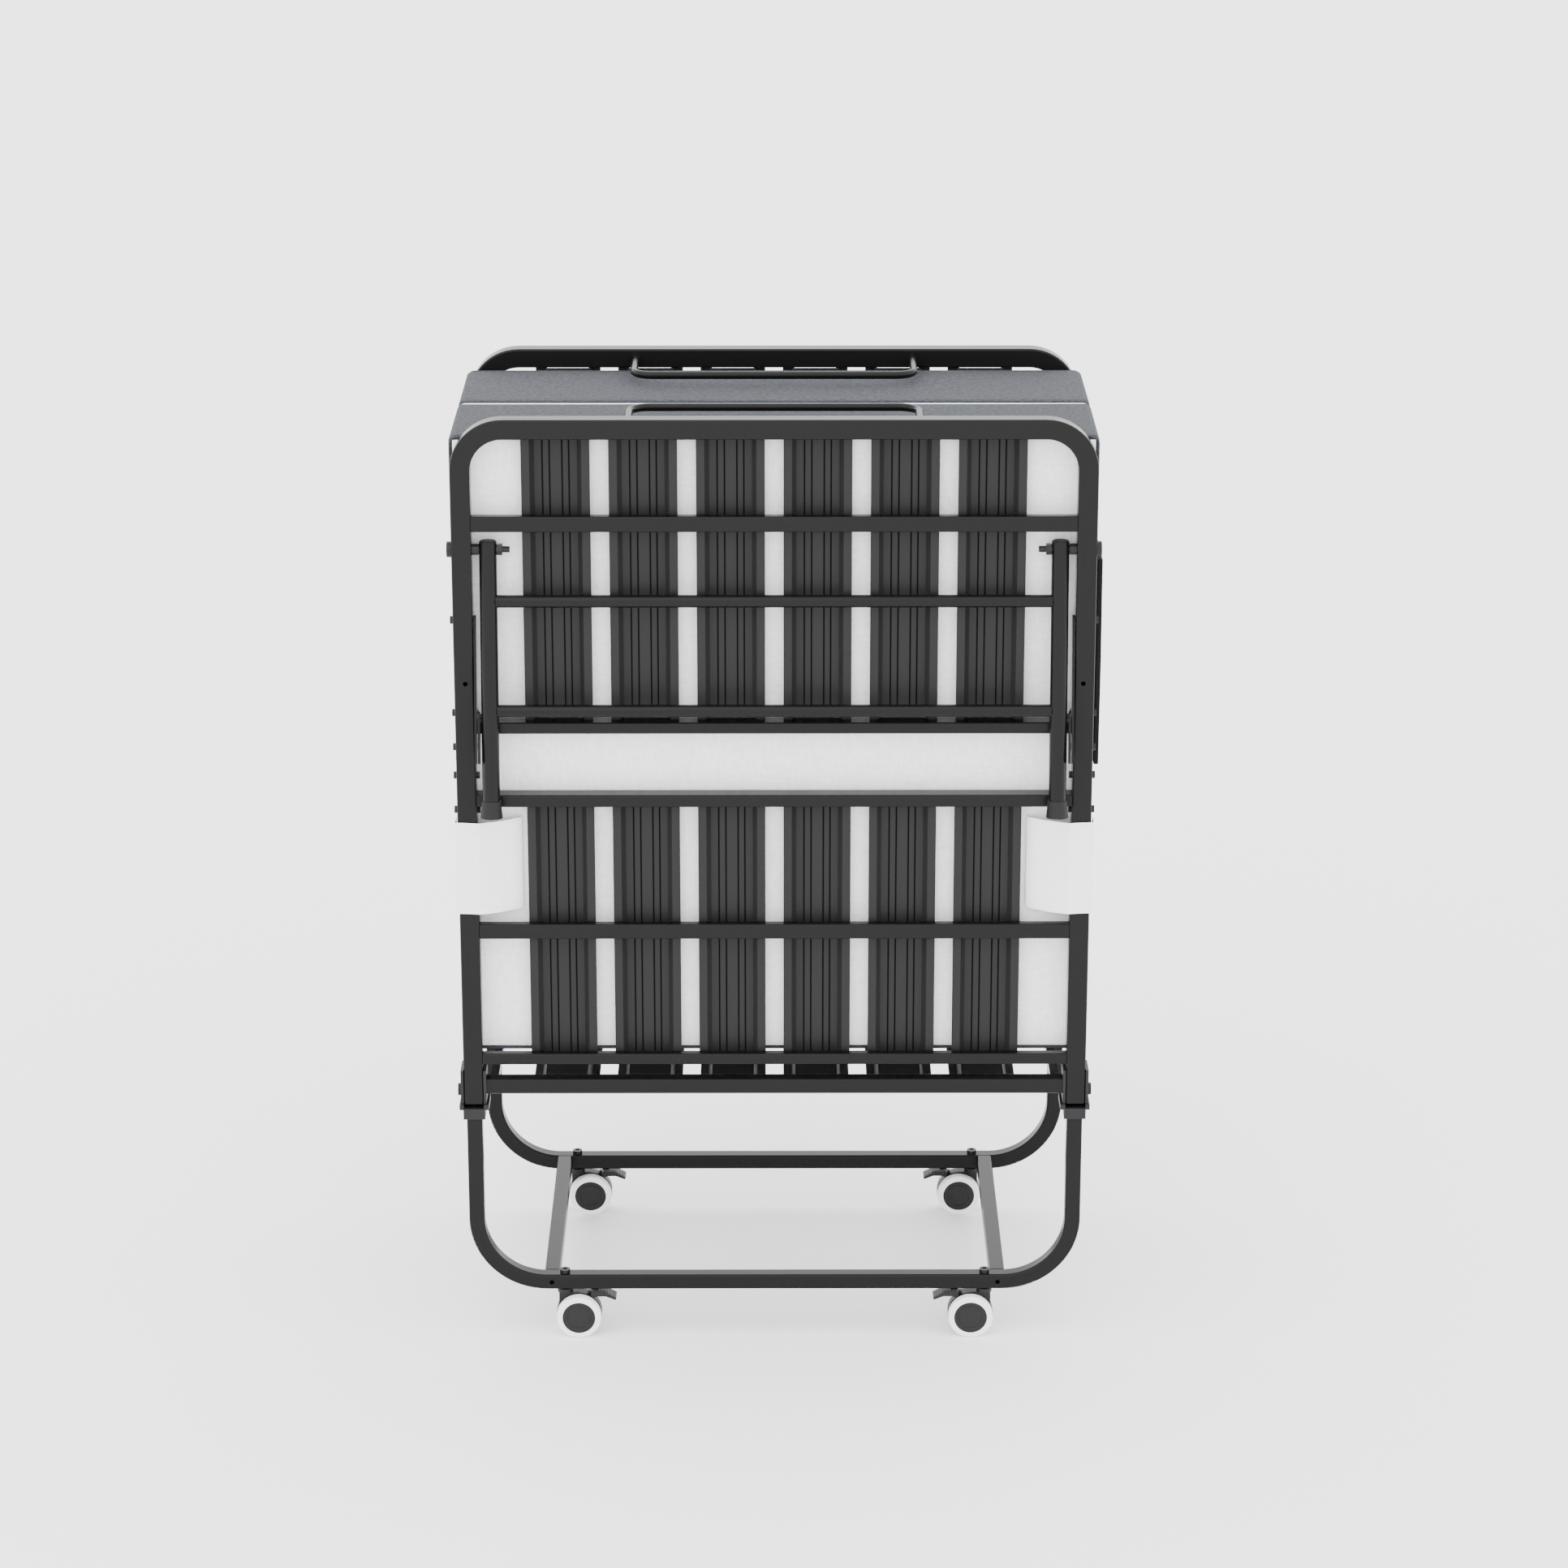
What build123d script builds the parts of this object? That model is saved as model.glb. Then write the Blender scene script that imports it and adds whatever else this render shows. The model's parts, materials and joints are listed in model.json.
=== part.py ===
"""Folding cot, standing folded on its casters: two slatted panels with legs, stays and mattress.

Millimetres, +Z up, X across the cot, origin on the floor under the middle. Depth means the
distance in from a panel's outer face, towards the middle of the cot.
"""

import math
import os

from build123d import *

# ---- driving dimensions ---------------------------------------------------------------------
WIDTH = 800.0  # over a panel's side tubes
HEIGHT = 1230.0
HALF_DEPTH = 207.5  # middle of the cot to a panel's outer face
PIVOT_Z = 342.0

TUBE = 25.0
TUBE_WALL = 1.2
TUBE_CORNER = 2.5
PANEL_BEND = 53.0  # centre-line radius
FRAME_BOTTOM = 326.0

RAIL_FRONT = 0.5  # depth of the rails' outer faces
# bottom height, height and depth of each cross rail, from the top down
RAILS = (
    (1087.5, 20.0, 13.5),
    (826.0, 15.0, 24.0),
    (729.0, 16.0, 24.0),
    (552.0, 20.0, 13.5),
    (380.0, 15.0, 13.5),
)

SLAT_COUNT = 6
SLAT_PITCH = 108.0
SLAT_WIDTH = 85.0
SLAT_FLANGE = 10.4
SLAT_WALL_RUN = 5.5
SLAT_FACE = 14.0  # depth of the flanges, which lie on the cross rails
SLAT_RISE = 11.5
SLAT_SHEET = 1.0
SLAT_GROOVES = (-16.5, -7.5, 8.0, 16.5)
GROOVE_WIDE = 2.6
GROOVE_DEEP = 0.7
UPPER_SLATS = (841.0, 1205.0)
LOWER_SLATS = (382.0, 729.0)

LOOP_WIDTH = 372.0
LOOP_REACH = 100.0
LOOP_ROD = 10.0
LOOP_BEND = 25.0

MATTRESS_HALF_X = 403.0
MATTRESS_DEPTH = 28.0
MATTRESS_GAP = 3.5  # from the middle of the cot
MATTRESS_Z = (390.0, 1204.0)
MATTRESS_ROUND = 20.0

STRAP_Z = (586.5, 708.5)
# one face of a strap and then the other, as distance from the middle and depth
STRAP_SECTION = (
    (402.8, 27.7),
    (402.8, -2.4),
    (373.0, -2.4),
    (320.0, 26.0),
    (320.0, 27.7),
    (374.0, -0.9),
    (401.3, -0.9),
    (401.3, 27.7),
)

POCKET_THICK = 7.5
POCKET_Y = (-170.0, -10.0)
POCKET_Z = (773.0, 1043.0)

LEG_PIVOT_Z = 1063.0
LEG_BOLT_END_X = 328.0  # free end of the leg's pivot bolt
LEG_HEAD = 6.0
LEG_HEAD_R = 10.0
SPACER_R = 7.0
SPACER_GAP = 0.3
PIVOT_CUT_X = (360.0, 410.0)  # reach of the bolt hole through a hinge bracket
PIVOT_HEAD = 4.0
PIVOT_BOLT_GAP = 0.2
CASTER_HEAD = 5.0
FRAME_HOLE_X = 386.0
FRAME_HOLE_Z = 892.0
FRAME_HOLE_R = 3.0
FRAME_HOLE_DEEP = 6.0
COLLAR_R = 10.0
STEM_CUT = 20.0
LEG_X = 355.0
LEG_TUBE = 22.0
LEG_WALL = 1.5
LEG_TILT = 6.2  # degrees that the folded leg leans out in front of the rails
LEG_REACH = 341.0  # pivot to the bottom of the foot
LEG_ABOVE = 9.5
PLUG_RISE = 2.0
PLUG_TAPER = 45.0
BAR_DROPS = (65.5, 204.5)
BAR = 16.0
FOOT_TALL = 22.0
FOOT_TOP = 24.0
FOOT_BOTTOM = 28.0

STAY_DROP = 91.0  # leg pivot to the upper link's pivot on the tube
STAY_ON_LEG = 211.0  # leg pivot to the lower link's pin
STAY_SHEET = 3.0
STAY_BROAD = 12.0
UPPER_LINK_X = 373.0
LOWER_LINK_X = 369.0

BASE_TUBE = 20.0
BASE_X = 387.0
BASE_Y = 198.0
BASE_Z = 75.0
BASE_BEND = 90.0
BASE_TOP = 316.0
SIDE_BAR_X = 291.0
BAR_HOLE = 3.0

BRACKET_X = (371.0, 404.0)
CHANNEL_X = (374.6, 400.4)
LIP_X = (368.0, 406.0)
BRACKET_Y = (171.0, 208.0)
CHANNEL_BACK = 174.0
SOCKET_Z = 306.0
LIP_Z = (319.0, 326.0)
CHANNEL_FLOOR = 320.5
BRACKET_TOP = 372.0
AXLE_RAIL_Z = 349.0
MIDDLE_BAR_X = (358.0, 368.5)
MIDDLE_BAR_Z = (332.0, 344.0)
MIDDLE_SLAT_Z = 334.0  # underside of the middle slats

CASTER_X = 274.0
CASTER_TRAIL = 18.0
WHEEL_R = 29.0
HUB_R = 21.5
WHEEL_IN = 8.0  # caster's middle to the inner faces of its wheels
WHEEL_OUT = 21.0
HOOD_R = 29.5
HOOD_HALF = 7.0
HOUSING_TOP = 64.2
COLLAR_Z = 59.0
AXLE_R = 3.0
PEDAL_PIN = (20.0, 57.5)  # from the hub towards the middle, and up from the floor
PEDAL_PIN_R = 2.0
PEDAL_HALF = 10.0

RUN = 0.05  # radial clearance of a bolt in its hole
BIG_BOLT_R = 4.0
STAY_BOLT_R = 3.0
SMALL_BOLT_R = 2.5
SMALL_BOLTS = (851.0, 806.0, 768.5, 723.0)

# ---- worked out from them -------------------------------------------------------------------
MID = TUBE / 2
SIDE_X = WIDTH / 2 - MID
INNER_X = WIDTH / 2 - TUBE
STAY_Z = LEG_PIVOT_Z - STAY_DROP
MIDDLE_REACH = HALF_DEPTH - MID - BASE_TUBE / 2  # to the inner faces of the axle rails
TILT = math.radians(LEG_TILT)
# the two links lie on each other when folded and in one line when the leg stands square
OPEN_SPAN = math.hypot(STAY_ON_LEG, STAY_DROP)
FOLDED_SPAN = math.hypot(STAY_ON_LEG * math.sin(TILT), STAY_ON_LEG * math.cos(TILT) - STAY_DROP)
UPPER_LINK = (OPEN_SPAN + FOLDED_SPAN) / 2
LOWER_LINK = (OPEN_SPAN - FOLDED_SPAN) / 2
SIDES = {"front": -1, "rear": 1}
HANDS = {"left": -1, "right": 1}

os.makedirs("parts", exist_ok=True)


def save(builder, name):
    """Label a finished sub-part and write it as its own STEP file."""
    builder.part.label = name
    export_step(builder.part, f"parts/{name}.step")


def at_depth(sign, depth):
    """Y of a depth in from the outer face of the front (-1) or rear (+1) panel."""
    return sign * (HALF_DEPTH - depth)


def tube_section(wide, tall):
    """Hollow rounded rectangle, in the open sketch."""
    RectangleRounded(wide, tall, TUBE_CORNER)
    inner_corner = TUBE_CORNER - TUBE_WALL
    RectangleRounded(wide - 2 * TUBE_WALL, tall - 2 * TUBE_WALL, inner_corner, mode=Mode.SUBTRACT)


def rod_x(x_from, x_to, y, z, radius, mode=Mode.ADD):
    """Cylinder along X between two places, in the open part."""
    with Locations(Location(((x_from + x_to) / 2, y, z), (0, 90, 0))):
        Cylinder(radius, abs(x_to - x_from), mode=mode)


def nut_x(x_from, x_to, y, z, radius):
    """Hexagonal nut along X between two places, in the open part."""
    start = min(x_from, x_to)
    with BuildSketch(Plane((start, y, z), x_dir=(0, 1, 0), z_dir=(1, 0, 0))) as hexagon:
        RegularPolygon(radius, 6)
    extrude(hexagon.sketch, amount=abs(x_to - x_from))


def box(x_range, y_range, z_range, mode=Mode.ADD):
    """Box between two values on each axis, in the open part."""
    spans = [sorted(pair) for pair in (x_range, y_range, z_range)]
    with Locations(tuple((low + high) / 2 for low, high in spans)):
        Box(*[high - low for low, high in spans], mode=mode)


def bent_tube(y, half_x, bottom, top, size, bend):
    """Square tube bent to a U in a plane of constant Y, in the open part."""
    with BuildLine() as path:
        FilletPolyline((-half_x, y, bottom), (-half_x, y, top), (half_x, y, top), (half_x, y, bottom), radius=bend)
    rise = 1 if top > bottom else -1
    with BuildSketch(Plane((-half_x, y, bottom), x_dir=(1, 0, 0), z_dir=(0, 0, rise))) as section:
        tube_section(size, size)
    sweep(section.sketch, path=path.line)


def slat_section():
    """Corners of a slat's section, as distance across and rise from the flanges."""
    half = SLAT_WIDTH / 2
    foot = half - SLAT_FLANGE
    web = foot - SLAT_WALL_RUN
    return (
        (-half, 0),
        (-foot, 0),
        (-web, SLAT_RISE - SLAT_SHEET),
        (web, SLAT_RISE - SLAT_SHEET),
        (foot, 0),
        (half, 0),
        (half, SLAT_SHEET),
        (foot + SLAT_SHEET / 2, SLAT_SHEET),
        (web + SLAT_SHEET / 2, SLAT_RISE),
        (-web - SLAT_SHEET / 2, SLAT_RISE),
        (-foot - SLAT_SHEET / 2, SLAT_SHEET),
        (-half, SLAT_SHEET),
    )


def slat_row(plane, start, way, length):
    """Row of pressed slats, in the open part.

    The plane's X runs across the cot. The flanges lie at start on its Y, the webs rise the
    given way from there, and the slats run for the given length along its normal.
    """
    for index in range(SLAT_COUNT):
        middle = (index - (SLAT_COUNT - 1) / 2) * SLAT_PITCH
        with BuildSketch(plane) as outline:
            with BuildLine():
                Polyline([(middle + x, start + way * rise) for x, rise in slat_section()], close=True)
            make_face()
            groove = start + way * (SLAT_RISE - SLAT_SHEET)
            with Locations(*[(middle + x, groove) for x in SLAT_GROOVES]):
                Rectangle(GROOVE_WIDE, 2 * GROOVE_DEEP, mode=Mode.SUBTRACT)
        extrude(outline.sketch, amount=length)


# ---- base -----------------------------------------------------------------------------------
for side, sign in SIDES.items():
    y = sign * BASE_Y
    pivot_y = at_depth(sign, MID)
    with BuildPart() as base_leg:
        bent_tube(y, BASE_X, BASE_TOP, BASE_Z, BASE_TUBE, BASE_BEND)
        for turn in HANDS.values():
            with Locations((turn * CASTER_X, y, BASE_Z)):
                Cylinder(BIG_BOLT_R + RUN, 2 * BASE_TUBE, mode=Mode.SUBTRACT)
            with Locations(Location((turn * SIDE_BAR_X, y + sign * BASE_TUBE / 2, BASE_Z), (90, 0, 0))):
                Cylinder(BAR_HOLE, BASE_TUBE / 2, mode=Mode.SUBTRACT)
    save(base_leg, f"base_leg_{side}")

    with BuildPart() as axle_rail:
        with BuildSketch(Plane.YZ.offset(-BRACKET_X[0])):
            with Locations((pivot_y, AXLE_RAIL_Z)):
                tube_section(BASE_TUBE, BASE_TUBE)
        extrude(amount=2 * BRACKET_X[0])
    save(axle_rail, f"axle_rail_{side}")

    for hand, turn in HANDS.items():
        near, far = sign * BRACKET_Y[0], sign * BRACKET_Y[1]
        socket_half = BASE_TUBE / 2 + 4
        with BuildPart() as bracket:
            box(
                (turn * BASE_X - socket_half, turn * BASE_X + socket_half),
                (y - socket_half + 1, y + socket_half - 1),
                (SOCKET_Z, CHANNEL_FLOOR),
            )
            box((turn * LIP_X[0], turn * LIP_X[1]), (near, sign * (BRACKET_Y[1] + 3)), LIP_Z)
            box((turn * BRACKET_X[0], turn * BRACKET_X[1]), (near, far), (CHANNEL_FLOOR - 1, BRACKET_TOP))
            box(
                (turn * CHANNEL_X[0], turn * CHANNEL_X[1]),
                (sign * CHANNEL_BACK, sign * 2 * BRACKET_Y[1]),
                (CHANNEL_FLOOR, BRACKET_TOP + 1),
                Mode.SUBTRACT,
            )
            tube_half = BASE_TUBE / 2
            box(
                (turn * BASE_X - tube_half, turn * BASE_X + tube_half),
                (y - tube_half, y + tube_half),
                (SOCKET_Z - 1, BASE_TOP),
                Mode.SUBTRACT,
            )
            rod_x(turn * PIVOT_CUT_X[0], turn * PIVOT_CUT_X[1], pivot_y, PIVOT_Z, BIG_BOLT_R, Mode.SUBTRACT)
        save(bracket, f"hinge_bracket_{side}_{hand}")

for hand, turn in HANDS.items():
    reach = BASE_Y - BASE_TUBE / 2
    with BuildPart() as side_bar:
        with BuildSketch(Plane.XZ.offset(-reach)):
            with Locations((turn * SIDE_BAR_X, BASE_Z)):
                tube_section(BASE_TUBE, BASE_TUBE)
        extrude(amount=2 * reach)
    save(side_bar, f"base_side_bar_{hand}")

    with BuildPart() as middle_bar:
        box((turn * MIDDLE_BAR_X[0], turn * MIDDLE_BAR_X[1]), (-MIDDLE_REACH, MIDDLE_REACH), MIDDLE_BAR_Z)
    save(middle_bar, f"middle_bar_{hand}")

with BuildPart() as middle_slats:
    slat_row(Plane.XZ.offset(-MIDDLE_REACH), MIDDLE_SLAT_Z, 1, 2 * MIDDLE_REACH)
save(middle_slats, "middle_slats")

with BuildPart() as pivot_bolts:
    for sign in SIDES.values():
        for turn in HANDS.values():
            pivot_y = at_depth(sign, MID)
            rod_x(turn * (BRACKET_X[0] + PIVOT_BOLT_GAP), turn * BRACKET_X[1], pivot_y, PIVOT_Z, BIG_BOLT_R)
            rod_x(turn * BRACKET_X[1], turn * (BRACKET_X[1] + PIVOT_HEAD), pivot_y, PIVOT_Z, 2 * BIG_BOLT_R)
save(pivot_bolts, "pivot_bolts")

with BuildPart() as caster_bolts:
    top = BASE_Z + BASE_TUBE / 2
    stem_bottom = 46.0
    for sign in SIDES.values():
        for turn in HANDS.values():
            with Locations((turn * CASTER_X, sign * BASE_Y, (top + stem_bottom) / 2)):
                Cylinder(BIG_BOLT_R, top - stem_bottom)
            with BuildSketch(Plane((turn * CASTER_X, sign * BASE_Y, top))):
                Circle(6.5)
            extrude(amount=CASTER_HEAD)
            with BuildSketch(Plane((turn * CASTER_X, sign * BASE_Y, top + 8))):
                RegularPolygon(3.4, 6)
            extrude(amount=-4, mode=Mode.SUBTRACT)
save(caster_bolts, "caster_bolts")

# ---- panels ---------------------------------------------------------------------------------
for side, sign in SIDES.items():
    y = at_depth(sign, MID)
    outer = WIDTH / 2

    with BuildPart() as side_frame:
        bent_tube(y, SIDE_X, FRAME_BOTTOM, HEIGHT - MID, TUBE, PANEL_BEND)
        for turn in HANDS.values():
            through = (turn * (INNER_X - 1), turn * (outer + 1))
            rod_x(*through, y, PIVOT_Z, BIG_BOLT_R + RUN, Mode.SUBTRACT)
            rod_x(*through, y, LEG_PIVOT_Z, BIG_BOLT_R + RUN, Mode.SUBTRACT)
            rod_x(*through, y, STAY_Z, STAY_BOLT_R + RUN, Mode.SUBTRACT)
            for z in SMALL_BOLTS:
                rod_x(*through, y, z, SMALL_BOLT_R + RUN, Mode.SUBTRACT)
            with Locations(Location((turn * FRAME_HOLE_X, at_depth(sign, 0), FRAME_HOLE_Z), (90, 0, 0))):
                Cylinder(FRAME_HOLE_R, FRAME_HOLE_DEEP, mode=Mode.SUBTRACT)
    save(side_frame, f"{side}_side_frame")

    with BuildPart() as rails:
        for bottom, tall, deep in RAILS:
            with BuildSketch(Plane.YZ.offset(-INNER_X)):
                with Locations((at_depth(sign, RAIL_FRONT + deep / 2), bottom + tall / 2)):
                    tube_section(deep, tall)
            extrude(amount=2 * INNER_X)
    save(rails, f"{side}_rails")

    for row, heights in {"upper": UPPER_SLATS, "lower": LOWER_SLATS}.items():
        with BuildPart() as slats:
            slat_row(Plane.XY.offset(heights[0]), at_depth(sign, SLAT_FACE), -sign, heights[1] - heights[0])
        save(slats, f"{side}_slats_{row}")

    with BuildPart() as loop:
        half = LOOP_WIDTH / 2 - LOOP_ROD / 2
        z = HEIGHT - MID
        start = at_depth(sign, TUBE)
        end = at_depth(sign, TUBE + LOOP_REACH - LOOP_ROD / 2)
        with BuildLine() as loop_path:
            FilletPolyline((-half, start, z), (-half, end, z), (half, end, z), (half, start, z), radius=LOOP_BEND)
        with BuildSketch(Plane((-half, start, z), x_dir=(1, 0, 0), z_dir=(0, -sign, 0))):
            Circle(LOOP_ROD / 2)
        sweep(path=loop_path.line)
    save(loop, f"{side}_mattress_loop")

    with BuildPart() as mattress:
        box(
            (-MATTRESS_HALF_X, MATTRESS_HALF_X),
            (at_depth(sign, MATTRESS_DEPTH), sign * MATTRESS_GAP),
            MATTRESS_Z,
        )
        fillet(mattress.edges().filter_by(Axis.Z), MATTRESS_ROUND)
    save(mattress, f"{side}_mattress")

    with BuildPart() as straps:
        for turn in HANDS.values():
            with BuildSketch(Plane.XY.offset(STRAP_Z[0])):
                with BuildLine():
                    Polyline([(turn * x, at_depth(sign, depth)) for x, depth in STRAP_SECTION], close=True)
                make_face()
            extrude(amount=STRAP_Z[1] - STRAP_Z[0])
    save(straps, f"{side}_straps")

    with BuildPart() as bolts:
        for turn in HANDS.values():
            leg_out = LEG_X + LEG_TUBE / 2
            leg_in = LEG_X - LEG_TUBE / 2
            rod_x(turn * LEG_BOLT_END_X, turn * outer, y, LEG_PIVOT_Z, BIG_BOLT_R)
            rod_x(turn * outer, turn * (outer + LEG_HEAD), y, LEG_PIVOT_Z, LEG_HEAD_R)
            rod_x(turn * (leg_out + SPACER_GAP), turn * INNER_X, y, LEG_PIVOT_Z, SPACER_R)
            nut_x(turn * (leg_in - 0.3), turn * (leg_in - 7), y, LEG_PIVOT_Z, 7.5)
            rod_x(turn * (UPPER_LINK_X - 1.6), turn * outer, y, STAY_Z, STAY_BOLT_R)
            rod_x(turn * outer, turn * (outer + 4), y, STAY_Z, 5)
            for z in SMALL_BOLTS:
                rod_x(turn * INNER_X, turn * outer, y, z, SMALL_BOLT_R)
                rod_x(turn * outer, turn * (outer + 4), y, z, 4.7)
                nut_x(turn * INNER_X, turn * (INNER_X - 4), y, z, 4.6)
    save(bolts, f"{side}_frame_bolts")

    # ---- leg and stays ----------------------------------------------------------------------
    down = Vector(0, sign * math.sin(TILT), -math.cos(TILT))
    pivot = Vector(0, y, LEG_PIVOT_Z)
    pin = pivot + down * STAY_ON_LEG
    stay_pivot = Vector(0, y, STAY_Z)
    along = (pin - stay_pivot).normalized()
    knee = stay_pivot + along * UPPER_LINK

    with BuildPart() as leg_frame:
        for drop in BAR_DROPS:
            bar_half = LEG_X - LEG_TUBE / 2 + 2
            with BuildSketch(Plane(pivot + down * drop - Vector(bar_half, 0, 0), z_dir=(1, 0, 0))):
                Circle(BAR / 2)
                Circle(BAR / 2 - LEG_WALL, mode=Mode.SUBTRACT)
            extrude(amount=2 * bar_half)
        for turn in HANDS.values():
            top = pivot + Vector(turn * LEG_X, 0, 0) - down * LEG_ABOVE
            with BuildSketch(Plane(top, z_dir=down)):
                Circle(LEG_TUBE / 2)
            extrude(amount=LEG_ABOVE + LEG_REACH - 4)
            rod_x(turn * LEG_X, turn * (LOWER_LINK_X + STAY_SHEET / 2 + 0.3), pin.Y, pin.Z, STAY_BOLT_R)
        for turn in HANDS.values():
            top = pivot + Vector(turn * LEG_X, 0, 0) - down * LEG_ABOVE
            with BuildSketch(Plane(top, z_dir=down)):
                Circle(LEG_TUBE / 2 - LEG_WALL)
            extrude(amount=LEG_ABOVE + LEG_REACH - 4, mode=Mode.SUBTRACT)
            rod_x(turn * 340, turn * 368, y, LEG_PIVOT_Z, BIG_BOLT_R + RUN, Mode.SUBTRACT)
    save(leg_frame, f"{side}_leg_frame")

    with BuildPart() as feet:
        for turn in HANDS.values():
            foot_end = pivot + Vector(turn * LEG_X, 0, 0) + down * LEG_REACH
            foot_top = foot_end - down * FOOT_TALL
            with BuildSketch(Plane(foot_top, z_dir=down)):
                Circle(FOOT_TOP / 2)
            with BuildSketch(Plane(foot_end, z_dir=down)):
                Circle(FOOT_BOTTOM / 2)
            loft()
        for turn in HANDS.values():
            foot_end = pivot + Vector(turn * LEG_X, 0, 0) + down * LEG_REACH
            with BuildSketch(Plane(foot_end - down * FOOT_TALL, z_dir=down)):
                Circle(LEG_TUBE / 2)
            extrude(amount=FOOT_TALL - 4, mode=Mode.SUBTRACT)
    save(feet, f"{side}_leg_feet")

    with BuildPart() as plugs:
        for turn in HANDS.values():
            top = pivot + Vector(turn * LEG_X, 0, 0) - down * LEG_ABOVE
            with BuildSketch(Plane(top, z_dir=-down)):
                Circle(LEG_TUBE / 2)
            extrude(amount=PLUG_RISE, taper=PLUG_TAPER)
    save(plugs, f"{side}_leg_plugs")

    links = {"upper": (stay_pivot, knee, UPPER_LINK_X), "lower": (pin, knee, LOWER_LINK_X)}
    for row, (start, end, x) in links.items():
        length = (end - start).length
        middle = (start + end) / 2
        with BuildPart() as link:
            for turn in HANDS.values():
                origin = (turn * x - STAY_SHEET / 2, middle.Y, middle.Z)
                with BuildSketch(Plane(origin, x_dir=along, z_dir=(1, 0, 0))):
                    SlotCenterToCenter(length, STAY_BROAD)
                    with Locations((-length / 2, 0)):
                        Circle(STAY_BOLT_R + RUN, mode=Mode.SUBTRACT)
                extrude(amount=STAY_SHEET)
        save(link, f"{side}_stay_{row}")

with BuildPart() as pocket:
    box((MATTRESS_HALF_X, MATTRESS_HALF_X + POCKET_THICK), POCKET_Y, POCKET_Z)
save(pocket, "side_pocket")

# ---- casters --------------------------------------------------------------------------------
for side, sign in SIDES.items():
    for hand, turn in HANDS.items():
        stem_x = turn * CASTER_X
        hub_x = turn * (CASTER_X - CASTER_TRAIL)
        y = sign * BASE_Y
        pin_x = hub_x - turn * PEDAL_PIN[0]
        pin_z = PEDAL_PIN[1]
        name = f"caster_{side}_{hand}"

        with BuildPart() as housing:
            with Locations(Location((hub_x, y, WHEEL_R), (90, 0, 0))):
                Cylinder(HOOD_R, 2 * HOOD_HALF)
            box((hub_x, stem_x + turn * 8), (y - HOOD_HALF, y + HOOD_HALF), (WHEEL_R, COLLAR_Z))
            box((hub_x - 40, hub_x + 40), (y - 10, y + 10), (-5, 14), Mode.SUBTRACT)
            with Locations((stem_x, y, (COLLAR_Z + HOUSING_TOP) / 2)):
                Cylinder(COLLAR_R, HOUSING_TOP - COLLAR_Z)
            box((pin_x, pin_x + turn * 8), (y - 3, y + 3), (50, pin_z + PEDAL_PIN_R))
            with Locations(Location((pin_x, y, pin_z), (90, 0, 0))):
                Cylinder(PEDAL_PIN_R, 2 * PEDAL_HALF)
            with Locations((stem_x, y, 55)):
                Cylinder(BIG_BOLT_R + RUN, STEM_CUT, mode=Mode.SUBTRACT)
            with Locations(Location((hub_x, y, WHEEL_R), (90, 0, 0))):
                Cylinder(AXLE_R + RUN, 4 * HOOD_HALF, mode=Mode.SUBTRACT)
        save(housing, f"{name}_housing")

        wheel_wide = WHEEL_OUT - WHEEL_IN
        wheel_mid = (WHEEL_OUT + WHEEL_IN) / 2
        with BuildPart() as tyres:
            with Locations(*[Location((hub_x, y + s * wheel_mid, WHEEL_R), (90, 0, 0)) for s in (-1, 1)]):
                Cylinder(WHEEL_R, wheel_wide)
            fillet(tyres.edges().filter_by(GeomType.CIRCLE), 2.5)
            with Locations(Location((hub_x, y, WHEEL_R), (90, 0, 0))):
                Cylinder(HUB_R, 4 * WHEEL_OUT, mode=Mode.SUBTRACT)
        save(tyres, f"{name}_tyres")

        with BuildPart() as hubs:
            with Locations(*[Location((hub_x, y + s * wheel_mid, WHEEL_R), (90, 0, 0)) for s in (-1, 1)]):
                Cylinder(HUB_R, wheel_wide)
            with Locations(Location((hub_x, y, WHEEL_R), (90, 0, 0))):
                Cylinder(AXLE_R, 2 * WHEEL_IN + 2)
        save(hubs, f"{name}_hubs")

        with BuildPart() as pedal:
            barrel = 4.4
            with Locations(Location((pin_x, y, pin_z), (90, 0, 0))):
                Cylinder(barrel, 2 * PEDAL_HALF)
            with BuildSketch(Plane.XZ.offset(-y)) as lever:
                with BuildLine():
                    Polyline(
                        (pin_x - turn * 1, pin_z + 4),
                        (pin_x - turn * 16, pin_z + 2),
                        (pin_x - turn * 29, pin_z - 5),
                        (pin_x - turn * 28, pin_z - 8),
                        (pin_x - turn * 15, pin_z - 3),
                        (pin_x - turn * 3, pin_z - 3),
                        close=True,
                    )
                make_face()
            extrude(lever.sketch, amount=PEDAL_HALF, both=True)
            box((pin_x - turn * 5.5, pin_x + turn * 9), (y - 3.4, y + 3.4), (45, 65), Mode.SUBTRACT)
            with Locations(Location((pin_x, y, pin_z), (90, 0, 0))):
                Cylinder(PEDAL_PIN_R + RUN, 4 * PEDAL_HALF, mode=Mode.SUBTRACT)
        save(pedal, f"{name}_pedal")
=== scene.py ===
"""Looks of the folding cot: finishes for its CAD parts, and its mattress, straps and pocket."""

import json
import logging
import math
from dataclasses import dataclass
from enum import Enum
from typing import Callable

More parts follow.
